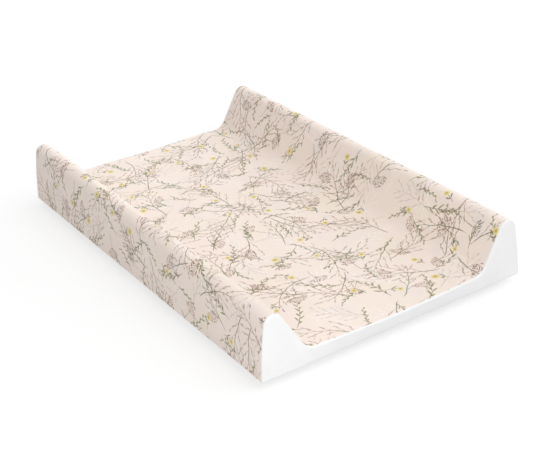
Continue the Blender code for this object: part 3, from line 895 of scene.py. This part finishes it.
def moulded_polypropylene(colours):
    """Injection-moulded polypropylene: white, waxy, from a mould with a fine eroded texture."""
    made, add, surface, place = material("moulded_polypropylene", 0.4)
    cloud = add("TexNoise", place, named={"Scale": 0.08, "Detail": 2.0})
    spark = add("TexNoise", place, named={"Scale": 2.2, "Detail": 2.0})
    shade = add("MapRange", cloud, 0.3, 0.7, 0.96, 1.0)
    add("VectorMath MULTIPLY", colours.polymer, shade, to=surface["Base Color"])
    add("MapRange", cloud, 0.3, 0.7, 0.34, 0.46, to=surface["Roughness"])
    add("Bump", named={"Strength": 0.25, "Distance": 0.15 * MM, "Height": spark}, to=surface["Normal"])
    return made


def zinc_plated_steel(colours):
    """Steel, barrel plated with zinc and passivated blue: bright grey with a clouded tint."""
    made, add, surface, place = material("zinc_plated_steel", 0.32, metallic=1.0)
    cloud = add("TexNoise", place, named={"Scale": 0.7, "Detail": 3.0})
    tones = {0: cloud, 6: (*colours.zinc, 1), 7: (*colours.zinc_blue, 1)}
    add("Mix", data_type="RGBA", out=2, named=tones, to=surface["Base Color"])
    add("MapRange", cloud, 0.3, 0.7, 0.26, 0.4, to=surface["Roughness"])
    return made


# Pieces


class PadOperator:
    """What the pad's operators share."""

    bl_options = {"REGISTER", "UNDO"}

    @classmethod
    def poll(cls, context):
        return context.scene is not None


class AddFoamCores(PadOperator, bpy.types.Operator):
    """Add the foam slab of the lying surface and the foam bolster on each side"""

    bl_idname = "changing_pad.foam_cores"
    bl_label = "Foam cores"

    def execute(self, context):
        shape = context.scene.pad_shape
        section = Section(shape)
        covered, bottom = shape.foil + shape.air, BOARD_TOP.z + shape.air
        rounding = quarter_round(shape.end_radius - covered, steps=6)
        front = [(covered + down, covered + inward - section.end) for down, inward in rounding]
        straight_end = front[-1][1]
        middle = [(covered, y) for y in np.linspace(straight_end, -straight_end, 60)[1:-1]]
        places = front + middle + [(depth, -y) for depth, y in reversed(front)]
        part, division = section.from_fold(), abs(section.valley_x)
        outer, thinnest = section.at(covered)[part], 0.5 * MM
        is_left = (outer[:, 0] <= NEAR - division) & (outer[:, 1] >= bottom + thinnest)
        is_flat = np.abs(outer[:, 0]) < division + NEAR
        for name, chosen, widened in (
            ("left_bolster_foam", is_left, 1),
            ("right_bolster_foam", is_left, -1),
            ("mattress_foam", is_flat, 1 - shape.air / division),
        ):
            rings = []
            for depth, y in places:
                top = section.at(depth)[part][chosen] * (widened, 1)
                base = np.column_stack([top[:, 0], np.full(len(top), bottom)])
                ring = np.vstack([top, base[::-1]])
                rings.append([(x, y * (1 + section.bowed(x, z) / section.end), z) for x, z in ring])
            foam = shared(polyurethane_foam)
            piece = placed(name + "_core", ring_mesh(name, rings), [foam], [name])
        return {"FINISHED"}


def weld_sink(shape, edge, reach):
    """How far the foil sinks at a distance from its welded edge."""
    return shape.weld_dip * max(0.0, 1 - edge / reach) ** 2


def cover_rise(shape, run, y, edge):
    """How far the printed foil stands off its section: slight waves that die out towards the weld,
    and short puckers beside it, which the weld itself holds down."""
    calm_reach, pucker_reach, pucker_start, pucker_stretch = 30 * MM, 14 * MM, 4 * MM, 4
    ripples = waves(run, y, size=0.11, seed=1.7) + 0.5 * waves(run, y, size=0.045, seed=5.1)
    puckers = 2 * waves(run, y / pucker_stretch, size=0.009, seed=9.3)
    held = math.exp(-edge / pucker_reach) * min(1.0, edge / pucker_start)
    return shape.ripple * min(1.0, edge / calm_reach) * ripples + shape.pucker * held * puckers


def cover_rows(shape, section):
    """Rows of points over the printed foil and its flat places: across the pad, then along it."""
    weld = section.end - shape.rim_depth - shape.seam_gap
    # Distances from the weld in mm, close together where the foil dips and puckers
    near = [0, 0.15, 0.35, 0.6, 0.9, 1.25, 1.6, 2.4, 4, 6.5, 10, 15, 21, 28, 36, 45]
    half = [weld - distance * MM for distance in near]
    even = np.linspace(half[-1], -half[-1], 96)[1:-1]
    rows, flats = [], []
    for place, outward, run in zip(section.places, section.outward, section.run):
        is_hem = abs(place[1] - section.under) < NEAR
        drawn_in = max(0.0, abs(section.fold_x) - abs(place[0])) if is_hem else 0.0
        reach = weld - drawn_in + section.bowed(*place)
        row, flat = [], []
        for y in [*half, *even, *(-y for y in reversed(half))]:
            edge = weld - abs(y)
            rise = 0.0 if is_hem else cover_rise(shape, run, y, edge)
            x, z = place + outward * (rise - weld_sink(shape, edge, shape.weld_reach))
            along = y * reach / weld
            row.append((x, along, z))
            flat.append((run, along))
        rows.append(row)
        flats.append(flat)
    return rows, flats


def lay_out_for_bake(mesh, low, high):
    """A second UV map within 0 to 1, whose outer face nearly fills the square and whose hidden
    inner face shares a narrow strip, so that exported pictures keep the print sharp."""
    margin, tall = 0.005, 0.99
    outside, inside = (margin, 0.95), (0.965, 0.03)
    flat = mesh.uv_layers["print"].data
    target = mesh.uv_layers.new(name="OFBake").data
    for face in mesh.polygons:
        start, wide = inside if face.material_index else outside
        for loop in face.loop_indices:
            across, along = ((at - a) / (b - a) for at, a, b in zip(flat[loop].uv, low, high))
            target[loop].uv = (start + wide * across, margin + tall * along)


class AddPrintedCover(PadOperator, bpy.types.Operator):
    """Add the printed foil, stretched over both bolsters and the mattress and hemmed under"""

    bl_idname = "changing_pad.printed_cover"
    bl_label = "Printed cover"

    def execute(self, context):
        shape = context.scene.pad_shape
        section = Section(shape)
        mesh = grid_mesh("printed_cover_foil", *cover_rows(shape, section))
        materials = [shared(printed_pvc_foil), shared(polyester_fleece)]
        piece = placed("printed_cover_foil", mesh, materials, ["printed_cover"])
        thicken(piece, shape.foil)
        start, end = section.run[0], section.run[-1]
        weld = section.end + shape.end_bow - shape.rim_depth - shape.seam_gap
        lay_out_for_bake(piece.data, (start, -weld), (end, weld))
        return {"FINISHED"}


def panel_rows(shape, section, towards):
    """Rows over an end panel: from its weld over the rim, round the edge, down its face, round
    the lower edge and back along the hem under the board."""
    part, radius, rim_depth = section.from_fold(), shape.end_radius, shape.rim_depth
    rim_steps, corner_steps, face_steps, full_puff_height = 5, 7, 14, 60 * MM
    tops, ways = section.places[part], section.outward[part].copy()
    ways[0] = ways[-1] = (0, -1)
    # The feet of the rows are spread evenly under each bolster's outer half
    crest = section.crest_end - section.HEM
    feet = tops[:, 0].copy()
    feet[: crest + 1] = np.linspace(section.fold_x, tops[crest, 0], crest + 1)
    feet[-crest - 1 :] = -feet[: crest + 1][::-1]
    hems = np.minimum(abs(section.fold_x) - np.abs(feet), shape.hem_depth - rim_depth) + rim_depth
    shares = np.arange(rim_steps) / rim_steps
    corner = quarter_round(radius, corner_steps)
    flat_rim = rim_depth - radius
    rim = [(weld_sink(shape, flat_rim * share, flat_rim), rim_depth - flat_rim * share) for share in shares]

    def point(spot, inward):
        return spot[0], towards * (section.end + section.bowed(*spot) - inward), spot[1]

    columns = []
    for top, way, foot_x, hem in zip(tops, ways, feet, hems):
        foot = np.array([foot_x, section.under])
        folded = [(0.0, hem - (hem - radius) * share) for share in shares[::-1]]
        column = [point(top - way * depth, inward) for depth, inward in rim + corner[::-1]]
        high, low = top - way * radius, foot + (0, radius)
        puff = shape.puff * min(1.0, np.linalg.norm(high - low) / full_puff_height)
        for share in np.arange(1, face_steps) / face_steps:
            spot = high * (1 - share) + low * share
            ripple = 0.25 * shape.ripple * waves(*spot, size=0.05, seed=3.3)
            column.append(point(spot, -(puff + ripple) * math.sin(math.pi * share)))
        column += [point(foot + (0, depth), inward) for depth, inward in corner + folded]
        columns.append(column)
    return columns


def point_outwards(mesh, inside):
    """Turns an open sheet's faces so that most look away from a point inside the pad."""
    total = sum(face.area * face.normal.dot(face.center - inside) for face in mesh.polygons)
    if total < 0:
        mesh.flip_normals()


class AddEndPanels(PadOperator, bpy.types.Operator):
    """Add the white foil panel at each end, with its rim and its hem"""

    bl_idname = "changing_pad.end_panels"
    bl_label = "End panels"

    def execute(self, context):
        shape = context.scene.pad_shape
        section = Section(shape)
        materials = [shared(white_pvc_foil), shared(polyester_fleece)]
        for name, towards in (("front_end_panel", -1), ("rear_end_panel", 1)):
            mesh = grid_mesh(name + "_foil", panel_rows(shape, section, towards))
            piece = placed(name + "_foil", mesh, materials, [name])
            point_outwards(mesh, Vector((0, 0, (PAD_LOW.z + PAD_HIGH.z) / 4)))
            thicken(piece, shape.foil)
        return {"FINISHED"}


class AddWeldSeams(PadOperator, bpy.types.Operator):
    """Add the bead of melted foil along the weld between the cover and each end panel"""

    bl_idname = "changing_pad.weld_seams"
    bl_label = "Weld seams"

    def execute(self, context):
        shape = context.scene.pad_shape
        section = Section(shape)
        bead_radius, depth, sides = 0.42 * MM, 0.62 * MM, 8
        bead = arc((0, 0), bead_radius, 0, math.tau, sides)
        middle = section.end - shape.rim_depth - shape.seam_gap / 2
        part = section.from_fold()
        for name, towards in (("front_weld_seam", -1), ("rear_weld_seam", 1)):
            rings = []
            for (x, z), (out_x, out_z) in zip(section.at(depth)[part], section.outward[part]):
                y = towards * (middle + section.bowed(x, z))
                rings.append([(x + out_x * lift, y + slide, z + out_z * lift) for lift, slide in bead])
            placed(name, ring_mesh(name, rings), [shared(white_pvc_foil)])
        return {"FINISHED"}


class FinishBoard(PadOperator, bpy.types.Operator):
    """Give the board its fibre finish"""

    bl_idname = "changing_pad.board_finish"
    bl_label = "Board finish"

    def execute(self, context):
        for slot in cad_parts["base_board"].material_slots:
            slot.material = shared(pressed_fibreboard)
        return {"FINISHED"}


class AddCotStops(PadOperator, bpy.types.Operator):
    """Add the four moulded stops under the board, hollow towards it and bored for their screws"""

    bl_idname = "changing_pad.cot_stops"
    bl_label = "Cot stops"

    def execute(self, context):
        fixings = context.scene.pad_fixings
        first, (low, high) = next(iter(STOPS.items()))
        bpy.ops.object.select_all(action="DESELECT")
        stop = self.shell(fixings, low, high)
        start = first.replace("cot_stop", "stop_screw")
        for name, screw in SCREWS.items():
            if name.startswith(start):
                self.bore(fixings, stop, (low.z, high.z), screw)
        repeat(stop, STOPS, "_moulded", shared(moulded_polypropylene))
        return {"FINISHED"}

    def shell(self, fixings, low, high):
        """A stop with round ends and a rounded foot, open towards the board, with a rib along it."""
        wall, rib = fixings.stop_wall, fixings.stop_rib
        stop = block(low, high)
        bpy.ops.object.mode_set(mode="EDIT")
        choose("EDGE", lambda edge: abs(edge.verts[0].co.z - edge.verts[1].co.z) > MM)
        bpy.ops.mesh.bevel(offset=(high.y - low.y) / 2, segments=14, affect="EDGES")
        bpy.ops.mesh.select_all(action="SELECT")
        bpy.ops.mesh.remove_doubles(threshold=NEAR)
        choose("EDGE", lambda edge: level(edge, low.z))
        bpy.ops.mesh.bevel(offset=fixings.stop_round, segments=5, affect="EDGES")
        choose("FACE", lambda face: level(face, high.z))
        bpy.ops.mesh.inset(thickness=wall)
        drop = high.z - low.z - wall
        bpy.ops.mesh.extrude_region_move(TRANSFORM_OT_translate={"value": (0, 0, -drop)})
        bpy.ops.object.mode_set(mode="OBJECT")
        middle = (low + high) / 2
        half = Vector(((high.x - low.x - wall) / 2, rib / 2, 0))
        rib_low, rib_high = middle - half, middle + half
        rib_low.z, rib_high.z = low.z + wall / 2, high.z - rib
        combine(stop, block(rib_low, rib_high), "UNION")
        return stop

    def bore(self, fixings, stop, heights, screw):
        """Adds the boss for a screw, and cuts its chamfered counterbore and its hole."""
        (low, high), (screw_low, screw_high), sides = heights, screw, 48
        centre = ((screw_low + screw_high) / 2)[:2]
        bore = (screw_high.x - screw_low.x) / 2 + fixings.bore_gap
        seat = screw_low.z + fixings.head_height + fixings.bore_gap / 2
        hole = fixings.shank_radius + fixings.bore_gap / 2
        outside, mouth = bore + fixings.boss_wall, bore + fixings.bore_chamfer
        boss = [(outside, low + fixings.stop_wall / 2), (outside, high - NEAR)]
        combine(stop, turned(centre, boss, sides), "UNION")
        chamfered = [(mouth, low - MM), (mouth, low), (bore, low + fixings.bore_chamfer)]
        stepped = [(bore, seat), (hole, seat), (hole, high + MM)]
        combine(stop, turned(centre, chamfered + stepped, sides), "DIFFERENCE")


class AddScrews(PadOperator, bpy.types.Operator):
    """Add the pan-head screws that hold the stops, with their thread and cross recess"""

    bl_idname = "changing_pad.stop_screws"
    bl_label = "Stop screws"

    def execute(self, context):
        fixings = context.scene.pad_fixings
        low, high = next(iter(SCREWS.values()))
        centre, wide = ((low + high) / 2)[:2], (high.x - low.x) / 2
        shank, core = fixings.shank_radius, fixings.core_radius
        seat, neck, blunt = low.z + fixings.head_height, 1 * MM, 0.15
        rim = [(wide - inward, low.z + up) for inward, up in quarter_round(fixings.head_round, steps=5)]
        stem = [(shank, seat), (shank, seat + neck), (core, seat + 1.5 * neck)]
        tip = [(core, high.z - fixings.point), (blunt * core, high.z)]
        bpy.ops.object.select_all(action="DESELECT")
        screw = turned(centre, rim + [(wide, seat)] + stem + tip, sides=32)
        long, narrow = fixings.recess_length, fixings.recess_width
        self.cut_arm(fixings, screw, Vector((*centre, low.z)), long, narrow)
        self.cut_arm(fixings, screw, Vector((*centre, low.z)), narrow, long)
        thread = self.thread(fixings, centre, seat + 1.2 * neck, high.z - 0.6 * fixings.point)
        alone(screw)
        thread.select_set(True)
        bpy.ops.object.join()
        repeat(screw, SCREWS, "_threaded", shared(zinc_plated_steel))
        return {"FINISHED"}

    def cut_arm(self, fixings, screw, mouth, along_x, along_y):
        """Cuts one arm of the cross recess, which narrows towards its floor."""
        depth, floor_share = fixings.recess_depth, 0.6
        reach = Vector((along_x, along_y, 2 * depth)) / 2
        floor = mouth + Vector((0, 0, depth))
        arm = block(mouth - reach, mouth + reach)
        bpy.ops.object.mode_set(mode="EDIT")
        choose("FACE", lambda face: level(face, floor.z))
        bpy.ops.transform.resize(value=(floor_share, floor_share, 1), center_override=floor)
        bpy.ops.object.mode_set(mode="OBJECT")
        combine(screw, arm, "DIFFERENCE")

    def thread(self, fixings, centre, start, end):
        """A sharp ridge wound round the core: a triangle swept by the Screw modifier and closed."""
        core, crest, half = fixings.core_radius * 0.95, fixings.shank_radius, 0.3 * fixings.thread_pitch
        bpy.ops.mesh.primitive_circle_add(vertices=3, radius=half, fill_type="NOTHING", location=(0, 0, 0))
        ridge = started()
        for vert, place in zip(ridge.data.vertices, ((core, 0, -half), (crest, 0, 0), (core, 0, half))):
            vert.co = place
        modifier = ridge.modifiers.new("thread", "SCREW")
        modifier.steps = modifier.render_steps = 20
        modifier.screw_offset = fixings.thread_pitch
        modifier.iterations = int((end - start) / fixings.thread_pitch)
        apply_modifiers(ridge)
        bpy.ops.object.mode_set(mode="EDIT")
        bpy.ops.mesh.select_all(action="SELECT")
        bpy.ops.mesh.remove_doubles(threshold=NEAR)
        bpy.ops.mesh.fill_holes(sides=3)
        bpy.ops.mesh.select_all(action="SELECT")
        bpy.ops.mesh.normals_make_consistent(inside=False)
        bpy.ops.object.mode_set(mode="OBJECT")
        bpy.ops.transform.translate(value=(*centre, start))
        return started()


class AddStaples(PadOperator, bpy.types.Operator):
    """Add the staples that hold the foils' hems to the board"""

    bl_idname = "changing_pad.staples"
    bl_label = "Staples"

    def execute(self, context):
        shape, fixings = context.scene.pad_shape, context.scene.pad_fixings
        section = Section(shape)
        hem = shape.hem_depth - shape.rim_depth - fixings.staple_inset
        aside = Vector((abs(section.fold_x) - hem, section.end - shape.rim_depth - hem))
        reach = Vector((PAD_HIGH.x, section.end)) - Vector((1, 1)) * fixings.staple_corner
        count = 0
        for turn, span, off in ((0, reach.x, aside.y), (1, reach.y, aside.x)):
            gaps = math.ceil(2 * span / fixings.staple_spacing)
            spots = []
            for across in (-off, off):
                for i in range(gaps + 1):
                    along = span * (2 * i / gaps - 1)
                    x, y = (across, along) if turn else (along, across)
                    spots.append(Vector((x, y, section.under)))
            staple = self.staple(fixings, spots[0], turn * math.pi / 2)
            for spot in spots:
                count += 1
                copy = copied(staple, spot - spots[0])
                dress(copy, f"hem_staple_{count:02d}", shared(zinc_plated_steel))
            bpy.data.objects.remove(staple)
        return {"FINISHED"}

    def staple(self, fixings, spot, turn):
        """A wire back pressed into the foil, with a leg at each end that goes up into the board."""
        half, wire = fixings.staple_crown / 2, fixings.staple_wire
        low = spot - Vector((half, fixings.staple_width / 2, wire - fixings.staple_sink))
        high = low + Vector((fixings.staple_crown, fixings.staple_width, wire))

        def at_tip(place, reach):
            return abs(place.x - spot.x) > half - reach

        bpy.ops.object.select_all(action="DESELECT")
        piece = block(low, high)
        bpy.ops.object.mode_set(mode="EDIT")
        for x in (low.x + wire, high.x - wire):
            bpy.ops.mesh.select_all(action="SELECT")
            bpy.ops.mesh.bisect(plane_co=(x, 0, 0), plane_no=(1, 0, 0))
        choose("FACE", lambda face: level(face, high.z) and at_tip(face.calc_center_median(), wire))
        bpy.ops.mesh.extrude_region_move(TRANSFORM_OT_translate={"value": (0, 0, fixings.staple_leg - wire)})
        near = 0.1 * wire
        choose("EDGE", lambda edge: level(edge, low.z) and all(at_tip(v.co, near) for v in edge.verts))
        bpy.ops.mesh.bevel(offset=0.8 * wire, segments=4, affect="EDGES")
        bpy.ops.mesh.select_all(action="SELECT")
        bpy.ops.transform.rotate(value=turn, orient_axis="Z", center_override=spot)
        bpy.ops.object.mode_set(mode="OBJECT")
        return piece


def backdrop(owner, output):
    """Clears the nodes of the floor's material or the world. Gives the function that adds nodes, the
    share of rays that come from the camera, a mirror or glass, and the output's socket."""
    owner.use_nodes = True
    tree = owner.node_tree
    tree.nodes.clear()
    add = functools.partial(node, tree)
    seen = path = add("LightPath")
    for kind in ("Is Glossy Ray", "Is Transmission Ray"):
        seen = add("Math MAXIMUM", seen, path.node.outputs[kind])
    return add, seen, tree.nodes.new(output).inputs["Surface"]


class SetStage(PadOperator, bpy.types.Operator):
    """Add the floor, the lights and the camera"""

    bl_idname = "changing_pad.stage"
    bl_label = "Stage"

    def execute(self, context):
        self.floor(context)
        self.lights(context)
        stage = context.scene.pad_stage
        camera = bpy.data.objects.new("camera", bpy.data.cameras.new("camera"))
        camera.location, camera.rotation_euler = stage.camera_place, stage.camera_turn
        camera.data.lens, camera.data.clip_end = stage.lens, 4 * stage.floor_reach
        context.scene.collection.objects.link(camera)
        context.scene.camera = camera
        context.scene.view_settings.view_transform = "Standard"
        return {"FINISHED"}

    def floor(self, context):
        """A pale floor that keeps the pad's shadow and is nearly white to the camera."""
        stage, white = context.scene.pad_stage, (1, 1, 1, 1)
        bpy.ops.object.select_all(action="DESELECT")
        bpy.ops.mesh.primitive_plane_add(size=2 * stage.floor_reach, location=(0, 0, -stage.floor_drop))
        plane = context.active_object
        plane.name = "floor"
        made = bpy.data.materials.new("studio_floor")
        add, seen, surface = backdrop(made, "ShaderNodeOutputMaterial")
        matt = add("BsdfDiffuse", (*context.scene.pad_colours.floor, 1))
        lit = add("MixShader", 0.5, matt, add("Emission", white, stage.floor_glow))
        add("MixShader", seen, matt, lit, to=surface)
        plane.data.materials.append(made)

    def lights(self, context):
        """Even light from all sides, a soft light from above and three softboxes."""
        stage, white = context.scene.pad_stage, (1, 1, 1, 1)
        world = bpy.data.worlds.new("studio")
        add, seen, surface = backdrop(world, "ShaderNodeOutputWorld")
        add("Background", white, add("MapRange", seen, 0.0, 1.0, stage.sky, 1.0), to=surface)
        context.scene.world = world
        key = bpy.data.lights.new("key", "SUN")
        key.energy, key.angle = stage.key, stage.key_spread
        lamps = [(key, stage.key_from)]
        for side in ("left", "right", "rear"):
            lamp = bpy.data.lights.new(f"{side}_box", "AREA")
            lamp.shape, lamp.size, lamp.energy = "DISK", stage.box_width, getattr(stage, f"{side}_box")
            lamps.append((lamp, getattr(stage, f"{side}_place")))
        for lamp, place in lamps:
            stand = bpy.data.objects.new(lamp.name, lamp)
            stand.location = place
            stand.rotation_euler = Vector(place).to_track_quat("Z", "Y").to_euler()
            context.scene.collection.objects.link(stand)


OPERATORS = (
    AddFoamCores,
    AddPrintedCover,
    AddEndPanels,
    AddWeldSeams,
    FinishBoard,
    AddCotStops,
    AddScrews,
    AddStaples,
    SetStage,
)
GROUPS = {"pad_shape": PadShape, "pad_colours": PadColours, "pad_fixings": PadFixings, "pad_stage": PadStage}


class ChangingPadPanel(bpy.types.Panel):
    """Lists the pad's sizes, colours and pieces"""

    bl_idname = "VIEW3D_PT_changing_pad"
    bl_label = "Changing pad"
    bl_space_type = "VIEW_3D"
    bl_region_type = "UI"
    bl_category = "Changing pad"

    def draw(self, context):
        for operator in OPERATORS:
            self.layout.operator(operator.bl_idname)
        for name, kind in GROUPS.items():
            box = self.layout.box()
            for field in kind.__annotations__:
                box.prop(getattr(context.scene, name), field)


def register():
    for kind in (*GROUPS.values(), *OPERATORS, ChangingPadPanel):
        bpy.utils.register_class(kind)
    for name, kind in GROUPS.items():
        setattr(bpy.types.Scene, name, bpy.props.PointerProperty(type=kind))


def unregister():
    for name in GROUPS:
        delattr(bpy.types.Scene, name)
    for kind in (ChangingPadPanel, *OPERATORS, *GROUPS.values()):
        bpy.utils.unregister_class(kind)


def main():
    register()
    for operator in OPERATORS:
        space, name = operator.bl_idname.split(".")
        getattr(getattr(bpy.ops, space), name)()


if __name__ == "__main__":
    main()
